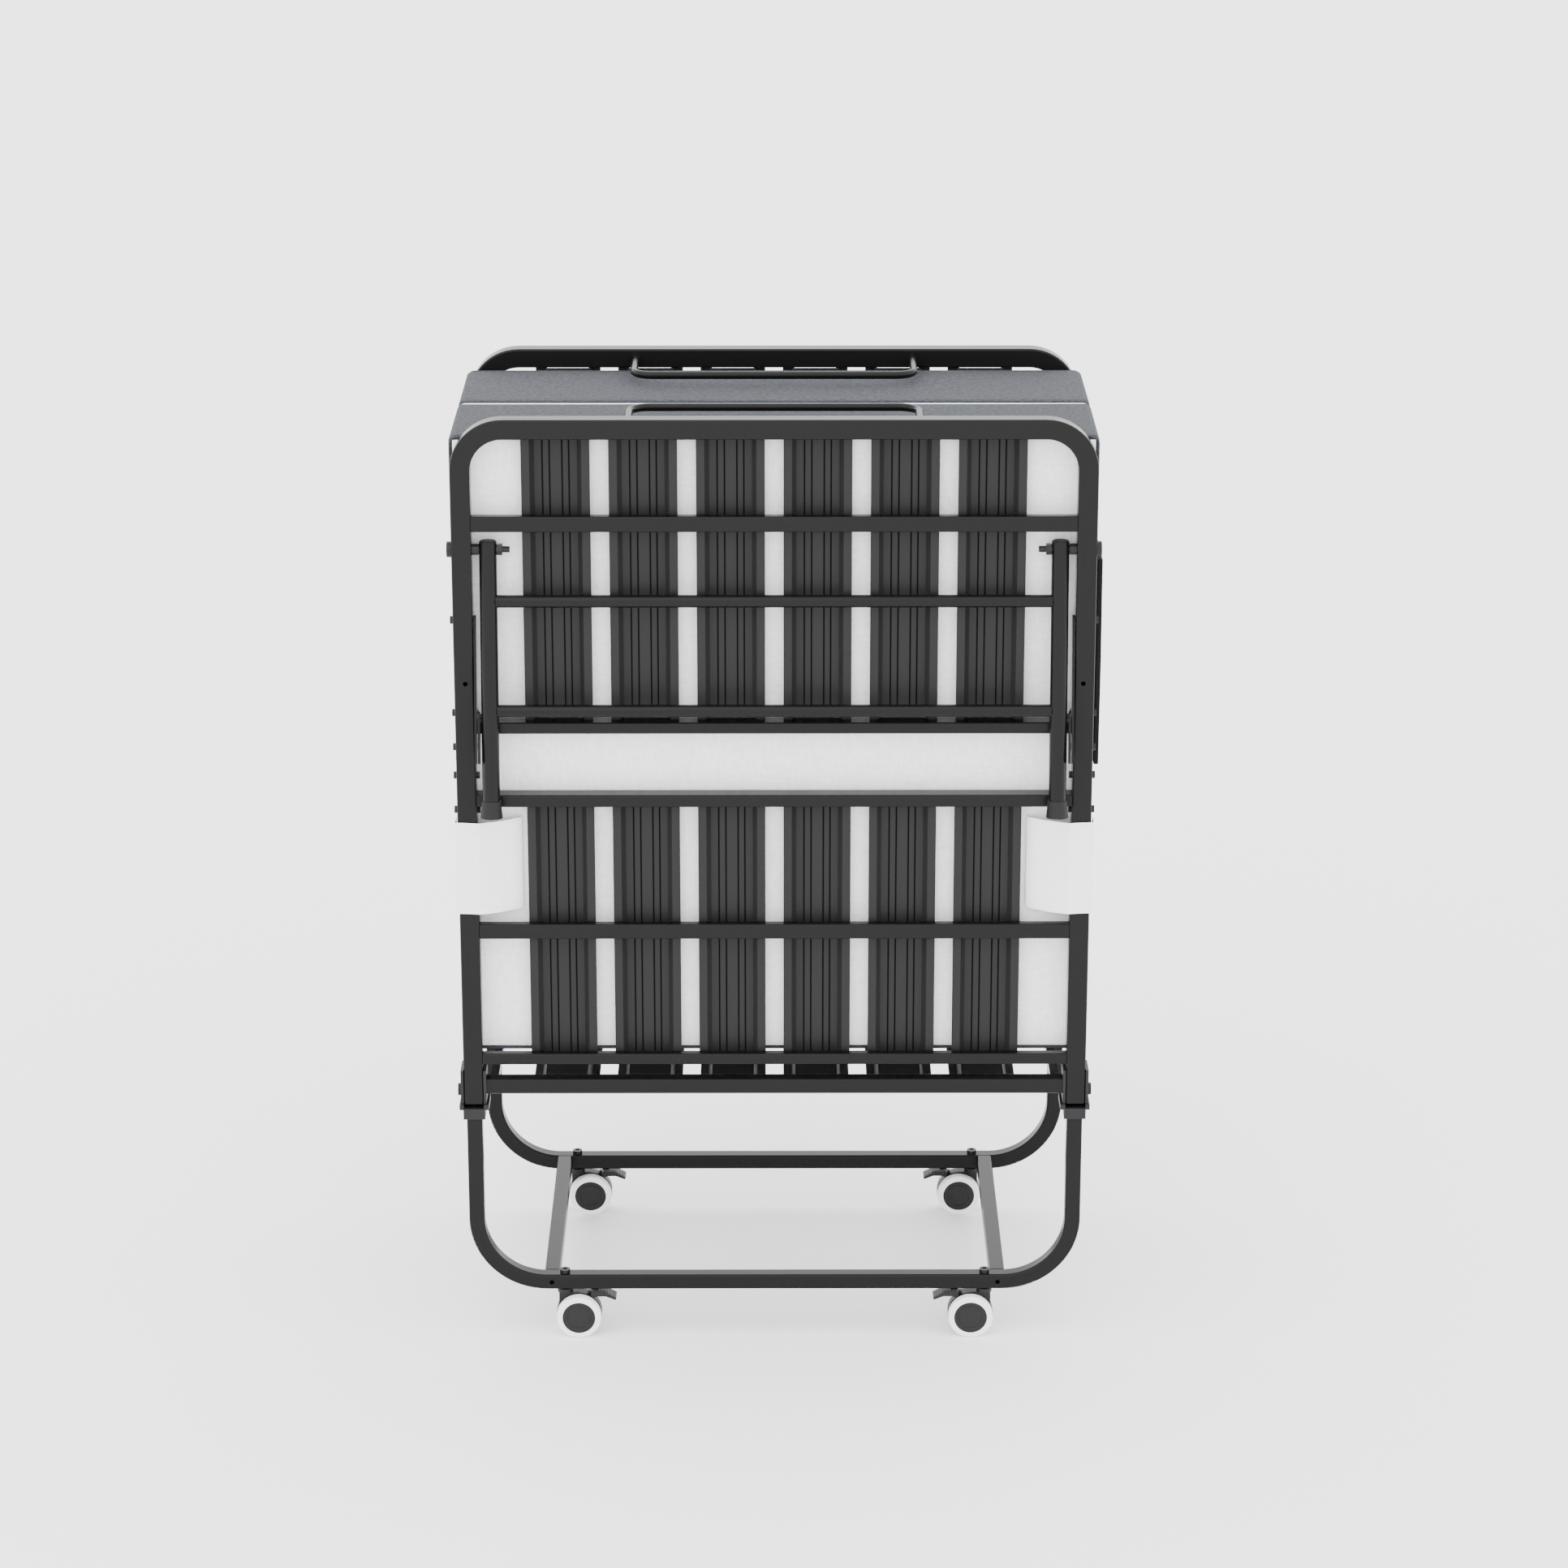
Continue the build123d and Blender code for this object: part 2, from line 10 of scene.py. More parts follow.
import bpy
import numpy as np
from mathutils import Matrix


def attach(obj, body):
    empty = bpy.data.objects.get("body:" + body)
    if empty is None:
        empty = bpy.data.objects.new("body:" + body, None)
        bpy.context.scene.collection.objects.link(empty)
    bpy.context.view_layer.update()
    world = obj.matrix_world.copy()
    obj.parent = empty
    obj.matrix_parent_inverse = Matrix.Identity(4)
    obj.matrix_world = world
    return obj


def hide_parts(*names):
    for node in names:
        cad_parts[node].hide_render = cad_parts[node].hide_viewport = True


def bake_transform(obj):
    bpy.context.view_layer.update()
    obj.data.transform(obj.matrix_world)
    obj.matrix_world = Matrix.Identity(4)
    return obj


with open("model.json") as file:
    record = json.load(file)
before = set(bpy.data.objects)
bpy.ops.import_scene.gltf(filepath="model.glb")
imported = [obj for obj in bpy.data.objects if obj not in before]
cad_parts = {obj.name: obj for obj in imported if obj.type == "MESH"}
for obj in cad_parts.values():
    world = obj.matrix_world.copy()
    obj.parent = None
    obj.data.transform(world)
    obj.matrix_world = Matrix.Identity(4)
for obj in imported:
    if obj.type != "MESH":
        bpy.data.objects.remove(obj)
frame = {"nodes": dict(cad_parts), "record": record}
log = logging.getLogger("folding_cot")
HALF_DEPTH = 0.2075  # middle of the cot to a panel's outer face, in metres
ACROSS_Y = np.array([0.0, 1.0, 0.0])
GRAIN_HEIGHT = 0.0006
THREAD = 0.22  # fineness along a thread, against 1 across it
WEAVE_RANGE = (0.75, 1.25)
EDGE_POINTS = 6  # across each rounded edge of a block


class Slot(Enum):
    """Material slots of the record."""

    TUBE = "charcoal_tube"
    PLASTIC = "dark_plastic"
    STEEL = "black_steel"
    RUBBER = "black_rubber"
    TYRE = "white_tyre"
    LINEN = "grey_linen"
    WEBBING = "white_webbing"
    CLOTH = "black_cloth"


class Side(Enum):
    """The two panels, with the sign of their Y."""

    FRONT = -1
    REAR = 1

    @property
    def word(self) -> str:
        """Name used in CAD nodes and bodies."""
        return self.name.lower()

    def y(self, depth: float) -> float:
        """Y of a depth.

        Args:
            depth: Metres in from the panel's outer face.

        Returns:
            Y in the row frame.
        """
        return self.value * (HALF_DEPTH - depth)


# ---- shader groups --------------------------------------------------------------------------
def _sockets(group: bpy.types.NodeTree, rows: list[tuple[str, str, str]]) -> None:
    """Declare a group's sockets.

    Args:
        group: The node group.
        rows: Name, INPUT or OUTPUT, and socket type of each.
    """
    for name, way, kind in rows:
        group.interface.new_socket(name=name, in_out=way, socket_type=kind)


GROUP_SOCKETS = [
    ("Dark", "INPUT", "NodeSocketColor"),
    ("Light", "INPUT", "NodeSocketColor"),
    ("Scale", "INPUT", "NodeSocketFloat"),
    ("Bump", "INPUT", "NodeSocketFloat"),
    ("Color", "OUTPUT", "NodeSocketColor"),
    ("Normal", "OUTPUT", "NodeSocketVector"),
]


def _finish_group(group: bpy.types.NodeTree, value: bpy.types.NodeSocket) -> None:
    """Turn a 0 to 1 value into the group's colour and normal.

    Args:
        group: The node group.
        value: Socket that carries the value.
    """
    nodes, links = group.nodes, group.links
    given = next(n for n in nodes if n.bl_idname == "NodeGroupInput")
    out = nodes.new("NodeGroupOutput")
    mix = nodes.new("ShaderNodeMix")
    mix.data_type = "RGBA"
    links.new(value, mix.inputs[0])
    links.new(given.outputs["Dark"], mix.inputs[6])
    links.new(given.outputs["Light"], mix.inputs[7])
    bump = nodes.new("ShaderNodeBump")
    bump.inputs["Distance"].default_value = GRAIN_HEIGHT
    links.new(given.outputs["Bump"], bump.inputs["Strength"])
    links.new(value, bump.inputs["Height"])
    links.new(mix.outputs[2], out.inputs["Color"])
    links.new(bump.outputs["Normal"], out.inputs["Normal"])


def _stretched_noise(group: bpy.types.NodeTree, stretch: tuple[float, float, float]) -> bpy.types.NodeSocket:
    """Noise stretched along some axes of the object.

    Args:
        group: The node group, which has a group input.
        stretch: Relative fineness along X, Y and Z.

    Returns:
        The socket with the noise value.
    """
    nodes, links = group.nodes, group.links
    given = next(n for n in nodes if n.bl_idname == "NodeGroupInput")
    where = nodes.new("ShaderNodeTexCoord")
    scaled = nodes.new("ShaderNodeVectorMath")
    scaled.operation = "MULTIPLY"
    scaled.inputs[1].default_value = stretch
    noise = nodes.new("ShaderNodeTexNoise")
    noise.inputs["Detail"].default_value = 2.0
    links.new(where.outputs["Object"], scaled.inputs[0])
    links.new(scaled.outputs[0], noise.inputs["Vector"])
    links.new(given.outputs["Scale"], noise.inputs["Scale"])
    return noise.outputs[0]


def grain_group() -> bpy.types.NodeTree:
    """Fine even grain of powder coat, plastic and rubber.

    Returns:
        The node group.
    """
    group = bpy.data.node_groups.new("Grain", "ShaderNodeTree")
    _sockets(group, GROUP_SOCKETS)
    group.nodes.new("NodeGroupInput")
    _finish_group(group, _stretched_noise(group, (1, 1, 1)))
    return group


def weave_group() -> bpy.types.NodeTree:
    """Woven cloth: the sum of slubs that run across and slubs that run upwards.

    Returns:
        The node group.
    """
    group = bpy.data.node_groups.new("Weave", "ShaderNodeTree")
    _sockets(group, GROUP_SOCKETS)
    group.nodes.new("NodeGroupInput")
    weft = _stretched_noise(group, (THREAD, THREAD, 1.0))
    warp = _stretched_noise(group, (1.0, 1.0, THREAD))
    total = group.nodes.new("ShaderNodeMath")
    total.operation = "ADD"
    group.links.new(weft, total.inputs[0])
    group.links.new(warp, total.inputs[1])
    spread = group.nodes.new("ShaderNodeMapRange")
    spread.inputs["From Min"].default_value = WEAVE_RANGE[0]
    spread.inputs["From Max"].default_value = WEAVE_RANGE[1]
    group.links.new(total.outputs[0], spread.inputs["Value"])
    _finish_group(group, spread.outputs[0])
    return group


@dataclass(frozen=True)
class Finish:
    """One procedural surface."""

    name: str
    dark: tuple[float, float, float]
    light: tuple[float, float, float]
    roughness: float
    scale: float
    bump: float
    woven: bool = False
    sheen: float = 0.0
    shine: float = 0.22

    def make(self, groups: dict[bool, bpy.types.NodeTree]) -> bpy.types.Material:
        """Build the material.

        Args:
            groups: The weave group under True and the grain group under False.

        Returns:
            The material.
        """
        material = bpy.data.materials.new(self.name)
        material.use_nodes = True
        nodes, links = material.node_tree.nodes, material.node_tree.links
        shader = nodes["Principled BSDF"]
        shader.inputs["Roughness"].default_value = self.roughness
        shader.inputs["IOR"].default_value = 1.5
        shader.inputs["Specular IOR Level"].default_value = self.shine
        shader.inputs["Sheen Weight"].default_value = self.sheen
        effect = nodes.new("ShaderNodeGroup")
        effect.node_tree = groups[self.woven]
        effect.inputs["Dark"].default_value = (*self.dark, 1.0)
        effect.inputs["Light"].default_value = (*self.light, 1.0)
        effect.inputs["Scale"].default_value = self.scale
        effect.inputs["Bump"].default_value = self.bump
        links.new(effect.outputs["Color"], shader.inputs["Base Color"])
        links.new(effect.outputs["Normal"], shader.inputs["Normal"])
        return material


FINISHES = {
    Slot.TUBE: Finish("tube_coat", (0.004,) * 3, (0.006,) * 3, 0.24, 700, 0.06, shine=0.14),
    Slot.PLASTIC: Finish("plastic", (0.008, 0.008, 0.009), (0.012, 0.012, 0.013), 0.42, 600, 0.12),
    Slot.STEEL: Finish("steel", (0.004,) * 3, (0.007,) * 3, 0.3, 500, 0.05),
    Slot.RUBBER: Finish("rubber", (0.005,) * 3, (0.008,) * 3, 0.6, 500, 0.2),
    Slot.TYRE: Finish("tyre", (0.85,) * 3, (0.92,) * 3, 0.5, 400, 0.1),
    Slot.LINEN: Finish("linen", (0.016, 0.018, 0.023), (0.051, 0.055, 0.065), 0.9, 900, 0.5, True, 0.05),
    Slot.WEBBING: Finish("webbing", (0.88, 0.88, 0.89), (0.96, 0.96, 0.96), 0.85, 650, 0.5, True),
    Slot.CLOTH: Finish("pocket_cloth", (0.002,) * 3, (0.005,) * 3, 0.85, 500, 0.4, True),
}
SLAT = Finish("slat_coat", (0.013,) * 3, (0.018,) * 3, 0.45, 700, 0.06, shine=0.12)
# Painted shade: near-black finish of the strips that stand in for the shade inside the slats' pressed lines.
PAINTED_GROOVE_SHADE = Finish("groove_shade", (0.003,) * 3, (0.005,) * 3, 0.9, 700, 0.0, shine=0.0)
KNIT = Finish("knit", (0.82, 0.82, 0.83), (0.93, 0.93, 0.94), 0.9, 300, 0.5, True, 0.1)


@dataclass
class Palette:
    """Every material of the cot."""

    slots: dict[Slot, bpy.types.Material]
    knit: bpy.types.Material
    slat: bpy.types.Material
    # finish of the painted shade strips in the slats' pressed lines
    groove: bpy.types.Material

    @classmethod
    def make(cls) -> "Palette":
        """Build the groups and the materials.

        Returns:
            The palette.
        """
        groups = {False: grain_group(), True: weave_group()}
        slots = {slot: finish.make(groups) for slot, finish in FINISHES.items()}
        return cls(slots, KNIT.make(groups), SLAT.make(groups), PAINTED_GROOVE_SHADE.make(groups))


# ---- meshes ---------------------------------------------------------------------------------
def mesh_object(name: str, points: np.ndarray, faces: np.ndarray) -> bpy.types.Object:
    """Make a smooth mesh object.

    Args:
        name: Object name.
        points: N x 3 places, in metres.
        faces: M x 4 corner numbers.

    Returns:
        The object.
    """
    mesh = bpy.data.meshes.new(name)
    mesh.from_pydata(points.tolist(), [], faces.tolist())
    mesh.polygons.foreach_set("use_smooth", np.ones(len(faces), bool))
    mesh.update()
    made = bpy.data.objects.new(name, mesh)
    bpy.context.scene.collection.objects.link(made)
    log.info("%s: %d faces", name, len(faces))
    return made


def grid_faces(rows: int, columns: int, wrap: bool = False) -> np.ndarray:
    """Quads of a grid.

    Args:
        rows: Points one way.
        columns: Points the other way.
        wrap: Whether the grid closes on itself both ways.

    Returns:
        M x 4 corner numbers.
    """
    index = np.arange(rows * columns).reshape(rows, columns)
    if wrap:
        index = np.pad(index, ((0, 1), (0, 1)), mode="wrap")
    return np.stack([index[:-1, :-1], index[1:, :-1], index[1:, 1:], index[:-1, 1:]], -1).reshape(-1, 4)


def rounded_block(
    low: np.ndarray, high: np.ndarray, radius: float, counts: tuple[int, int, int], sink: Callable
) -> tuple[np.ndarray, np.ndarray]:
    """Rounded block: the nearest point of a smaller inner block to each point, plus the radius outwards.

    Args:
        low: Lowest corner.
        high: Highest corner.
        radius: Rounding of every edge.
        counts: Points along the flat part of each axis.
        sink: Gives how far each point lies inside the plain surface.

    Returns:
        Points, and faces as corner numbers.
    """
    middle, half = (low + high) / 2, (high - low) / 2
    ticks = [
        np.unique(np.round(np.concatenate([
            np.linspace(-h, radius - h, EDGE_POINTS),
            np.linspace(radius - h, h - radius, n),
            np.linspace(h - radius, h, EDGE_POINTS),
        ]), 7))
        for h, n in zip(half, counts)
    ]
    points, faces, start = [], [], 0
    for axis in range(3):
        a, b = (axis + 1) % 3, (axis + 2) % 3
        for way in (-1, 1):
            one, two = np.meshgrid(ticks[a], ticks[b], indexing="ij")
            face = np.zeros((one.size, 3))
            face[:, axis], face[:, a], face[:, b] = way * half[axis], one.ravel(), two.ravel()
            quads = grid_faces(len(ticks[a]), len(ticks[b])) + start
            faces.append(quads if way > 0 else quads[:, ::-1])
            points.append(face)
            start += len(face)
    place, quads = np.concatenate(points), np.concatenate(faces)
    place, first = np.unique(np.round(place, 6), axis=0, return_inverse=True)
    inner = np.clip(place, -(half - radius), half - radius)
    out = place - inner
    out /= np.linalg.norm(out, axis=1)[:, None]
    surface = inner + out * (radius - sink(place + middle))[:, None]
    return surface + middle, first.reshape(-1)[quads]


def ring_tube(path: np.ndarray, out: np.ndarray, across: np.ndarray, radius: float, around: int = 8) -> tuple:
    """Tube along a closed path: path + radius (cos a out + sin a across).

    Args:
        path: N x 3 points.
        out: N x 3 unit vectors in the plane of the path.
        across: Unit vector square to that plane.
        radius: Radius of the tube.
        around: Points round the tube.

    Returns:
        Points and faces.
    """
    angle = np.linspace(0, 2 * math.pi, around, endpoint=False)
    ring = np.cos(angle)[None, :, None] * out[:, None, :] + np.sin(angle)[None, :, None] * across
    points = (path[:, None, :] + radius * ring).reshape(-1, 3)
    return points, grid_faces(len(path), around, wrap=True)


def plain(place: np.ndarray) -> np.ndarray:
    """A surface with no hollows.

    Args:
        place: N x 3 points.

    Returns:
        Zero for each point.
    """
    return np.zeros(len(place))


# ---- soft pieces ----------------------------------------------------------------------------
@dataclass
class MattressHalf:
    """One half of the foam mattress: grey linen sides, white knit faces and a piped seam."""

    side: Side
    half_x: float = 0.403
    near: float = 0.028
    gap: float = 0.0035
    bottom: float = 0.390
    top: float = 1.204
    radius: float = 0.009
    seam_inset: float = 0.006
    seam_in: float = 0.0026
    piping: float = 0.0018
    bend_top: float = 0.425
    hollow: float = 0.0007
    counts: tuple = (56, 12, 280)
    corner_points: int = 8
    steps: int = 24

    def _sink(self, place: np.ndarray) -> np.ndarray:
        """Slow hollows of worn foam: two products of sines, scaled to 0 to 1.4 mm.

        Args:
            place: N x 3 points.

        Returns:
            Depth of each point below the plain surface.
        """
        x, y, z = place.T
        broad = np.sin(13 * x + 5 * y + self.side.value) * np.sin(11 * z + 2)
        fine = 0.5 * np.sin(37 * x) * np.sin(29 * z + 9 * y)
        return self.hollow * (1 + (broad + fine) / 1.5)

    def build(self, palette: Palette) -> list[bpy.types.Object]:
        """Make the half and its piping.

        Args:
            palette: The materials.

        Returns:
            The pieces.
        """
        ys = sorted((self.side.y(self.near), self.side.value * self.gap))
        low, high = np.array([-self.half_x, ys[0], self.bottom]), np.array([self.half_x, ys[1], self.top])
        points, faces = rounded_block(low, high, self.radius, self.counts, self._sink)
        body = mesh_object(f"{self.side.word}_mattress_cover", points, faces)
        centre = points[faces].mean(axis=1)
        from_ends = np.minimum(centre[:, 2] - low[2], high[2] - centre[:, 2])
        inside = np.minimum(self.half_x - abs(centre[:, 0]), from_ends)
        edge = np.minimum(centre[:, 1] - low[1], high[1] - centre[:, 1])
        white = (inside > self.seam_inset) & (edge < self.seam_inset)
        body.data.materials.append(palette.slots[Slot.LINEN])
        body.data.materials.append(palette.knit)
        body.data.polygons.foreach_set("material_index", white.astype(np.int32))
        pieces = [body]
        for index, y in enumerate((ys[0] + self.seam_in, ys[1] - self.seam_in)):
            pieces.append(self._piping(index, y, palette))
        for piece in pieces:
            f"{self.side.word}_panel"
            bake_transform(piece)
        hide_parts(f"{self.side.word}_mattress")
        return pieces

    def _piping(self, index: int, y: float, palette: Palette) -> bpy.types.Object:
        """Seam cord round one face, along a rounded rectangle of four lines and four quarter circles.

        Args:
            index: Number of the face.
            y: Y of the seam.
            palette: The materials.

        Returns:
            The piece.
        """
        half_x = self.half_x - self.seam_in
        half_z = (self.top - self.bottom) / 2 - self.seam_in
        middle_z = (self.top + self.bottom) / 2
        turn = np.linspace(0, math.pi / 2, self.corner_points)
        path, out = [], []
        for quarter, (sx, sz) in enumerate(((1, 1), (-1, 1), (-1, -1), (1, -1))):
            angle = turn + quarter * math.pi / 2
            ways = np.stack([np.cos(angle), np.zeros_like(angle), np.sin(angle)], 1)
            corner = np.array([sx * (half_x - self.radius), y, middle_z + sz * (half_z - self.radius)])
            path.append(corner + self.radius * ways)
            out.append(ways)
        path, out = np.concatenate(path), np.concatenate(out)
        steps = np.arange(0, len(path), 1 / self.steps)
        wrapped, wrapped_out = np.vstack([path, path[:1]]), np.vstack([out, out[:1]])
        known = np.arange(len(wrapped))
        path = np.stack([np.interp(steps, known, wrapped[:, k]) for k in range(3)], 1)
        out = np.stack([np.interp(steps, known, wrapped_out[:, k]) for k in range(3)], 1)
        points, faces = ring_tube(path, out, ACROSS_Y, self.piping)
        piece = mesh_object(f"{self.side.word}_mattress_piping_{index}", points, faces)
        inner = self.side is Side.FRONT and abs(y) < abs(self.side.y(self.near)) / 2
        piece.data.materials.append(palette.knit if inner else palette.slots[Slot.LINEN])
        return piece


@dataclass
class MattressFold:
    """The stretch of foam that joins the halves: hidden inside them when folded, seen when open."""

    half_x: float = 0.399
    half_y: float = 0.1735
    bottom: float = 0.394
    top: float = 0.5335
    radius: float = 0.003
    counts: tuple = (56, 24, 12)

    def build(self, palette: Palette) -> bpy.types.Object:
        """Make the block, white on top and bottom and linen round its sides.

        Args:
            palette: The materials.

        Returns:
            The piece.
        """
        low = np.array([-self.half_x, -self.half_y, self.bottom])
        high = np.array([self.half_x, self.half_y, self.top])
        points, faces = rounded_block(low, high, self.radius, self.counts, plain)
        piece = mesh_object("mattress_fold", points, faces)
        height = points[faces].mean(axis=1)[:, 2]
        white = np.minimum(height - self.bottom, self.top - height) < self.radius / 3
        piece.data.materials.append(palette.slots[Slot.LINEN])
        piece.data.materials.append(palette.knit)
        piece.data.polygons.foreach_set("material_index", white.astype(np.int32))
        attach(piece, "base")
        return piece


@dataclass
class Strap:
    """Webbing band round a side tube, with its ends on the mattress."""

    side: Side
    turn: int
    bottom: float = 0.5865
    top: float = 0.7085
    curve: float = 0.0012
    corners: tuple = ((0.4028, 0.0275), (0.4028, -0.002), (0.373, -0.002), (0.320, 0.0255))
    rows: int = 61
    columns: int = 25

    def build(self, palette: Palette) -> bpy.types.Object:
        """Make the band: rows follow the tube, and the long edges curve as one sine wave.

        Args:
            palette: The materials.

        Returns:
            The piece.
        """
        corners = np.array(self.corners)
        runs = np.concatenate([[0], np.cumsum(np.linalg.norm(np.diff(corners, axis=0), axis=1))])
        along = np.linspace(0, runs[-1], self.rows)
        x = np.interp(along, runs, corners[:, 0])
        depth = np.interp(along, runs, corners[:, 1])
        lift = self.curve * np.sin(2 * math.pi * along / runs[-1])
        up = np.linspace(self.bottom, self.top, self.columns)
        band = np.stack(
            [
                np.repeat(self.turn * x[:, None], len(up), 1),
                np.repeat(self.side.value * (HALF_DEPTH - depth)[:, None], len(up), 1),
                up[None, :] + lift[:, None],
            ],
            -1,
        )
        hand = "left" if self.turn < 0 else "right"
        quads = grid_faces(self.rows, self.columns)
        piece = mesh_object(f"{self.side.word}_strap_{hand}", band.reshape(-1, 3), quads)
        piece.data.materials.append(palette.slots[Slot.WEBBING])
        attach(piece, f"{self.side.word}_panel")
        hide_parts(f"{self.side.word}_straps")
        f"{self.side.word}_side_frame"
        f"{self.side.word}_mattress_cover"
        return piece


@dataclass
class Pocket:
    """Cloth pocket on the right side of the front mattress half."""

    low: tuple = (0.4030, -0.170, 0.773)
    high: tuple = (0.4105, -0.010, 1.043)
    radius: float = 0.0018
    counts: tuple = (3, 24, 40)
    slack: float = 0.0004

    def _sag(self, place: np.ndarray) -> np.ndarray:
        """Slack of the cloth: slack times one plus a product of sines of Y and Z.

        Args:
            place: N x 3 points.

        Returns:
            Depth of each point below the plain surface.
        """
        return self.slack * (1 + np.sin(34 * place[:, 1]) * np.sin(26 * place[:, 2]))

    def build(self, palette: Palette) -> bpy.types.Object:
        """Make the pocket: a thin rounded block whose outer face sags by a sine wave.

        Args:
            palette: The materials.

        Returns:
            The piece.
        """
        low, high = np.array(self.low), np.array(self.high)
        points, faces = rounded_block(low, high, self.radius, self.counts, self._sag)
        piece = mesh_object("pocket_cloth", points, faces)
        piece.data.materials.append(palette.slots[Slot.CLOTH])
        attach(piece, "front_panel")
        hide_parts("side_pocket")
        return piece


@dataclass
class SlatGrooves:
    """Painted shade: dark strips laid on the floors of the pressed lines along one row of slats, standing in
    for the shade inside them.
    """

    name: str
    body: str
    origin: tuple[float, float, float]
    along: tuple[float, float, float]
    pitch: float = 0.108
    count: int = 6
    lines: tuple = (-0.0165, -0.0075, 0.008, 0.0165)
    half: float = 0.0008

    def build(self, palette: Palette) -> bpy.types.Object:
        """Make the painted shade strips: each is a flat quad as long as the slats, centred on its pressed
        line.

        Args:
            palette: The materials.

        Returns:
            The piece.
        """
        slats = (np.arange(self.count) - (self.count - 1) / 2) * self.pitch
        middles = (slats[:, None] + np.array(self.lines)[None, :]).ravel()
        across = np.array([-self.half, self.half, self.half, -self.half])
        ahead = np.array([0.0, 0.0, 1.0, 1.0])
        run = np.array(self.origin) + ahead[None, :, None] * np.array(self.along)
        points = run + np.zeros((len(middles), 4, 3))
        points[:, :, 0] += middles[:, None] + across[None, :]
        quads = np.arange(4 * len(middles)).reshape(-1, 4)
        piece = mesh_object(self.name, points.reshape(-1, 3), quads)
        # the strips carry the painted shade finish
        piece.data.materials.append(palette.groove)
        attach(piece, self.body)
        return piece


# ---- CAD sub-assemblies ---------------------------------------------------------------------
class SubAssembly:
    """CAD nodes that belong together, with the trim that is added to them."""

    @property
    def starts(self) -> tuple[str, ...]:
        """First letters of the names of its CAD nodes."""
        return ()

    def dress(self, palette: Palette) -> int:
        """Give slats their own finish, and each other node the finish of its slot in the record.

        Args:
            palette: The materials.

        Returns:
            Number of nodes dressed.
        """
        rows = [row for row in frame["record"]["subparts"] if row["node"].startswith(self.starts)]
        for row in rows:
            slots = frame["nodes"][row["node"]].data.materials
            slots.clear()
            pressed = "slats" in row["node"]
            slots.append(palette.slat if pressed else palette.slots[Slot(row["material_slot"])])
        log.info("%s: %d CAD nodes", type(self).__name__, len(rows))
        return len(rows)


class BaseFrame(SubAssembly):
    """Wheeled base with its brackets, rails, bars, middle slats and bolts."""

    @property
    def starts(self) -> tuple[str, ...]:
        """First letters of the names of its CAD nodes."""
        return "base_", "axle_", "pivot_", "caster_bolts", "middle_", "hinge_"


@dataclass
class Panel(SubAssembly):
    """Slatted panel with its mattress loop, bolts and soft nodes."""

    side: Side
    line_depth: float = 0.0249
    upper_bottom: float = 0.842
    upper_length: float = 0.362
    lower_bottom: float = 0.383
    lower_length: float = 0.345

    @property
    def starts(self) -> tuple[str, ...]:
        """First letters of the names of its CAD nodes."""
        words = ("side_frame", "rails", "slats_", "mattress", "frame_bolts", "straps")
        own = tuple(f"{self.side.word}_{word}" for word in words)
        return own + ("side_pocket",) if self.side is Side.FRONT else own

    def build(self, palette: Palette) -> None:
        """Lay painted shade strips in the pressed lines along both rows of slats.

        Args:
            palette: The materials.
        """
        y, word = self.side.y(self.line_depth), self.side.word
        for row, bottom, length in (
            ("upper", self.upper_bottom, self.upper_length),
            ("lower", self.lower_bottom, self.lower_length),
        ):
            lines = SlatGrooves(f"{word}_{row}_grooves", f"{word}_panel", (0, y, bottom), (0, 0, length))
            lines.build(palette)


@dataclass
class FoldingLeg(SubAssembly):
    """Leg frame with its feet and end plugs."""

    side: Side

    @property
    def starts(self) -> tuple[str, ...]:
        """First letters of the names of its CAD nodes."""
        return (f"{self.side.word}_leg_",)


@dataclass
class LegStays(SubAssembly):
    """Long and short links that hold a leg."""

    side: Side

    @property
    def starts(self) -> tuple[str, ...]:
        """First letters of the names of its CAD nodes."""
        return (f"{self.side.word}_stay_",)


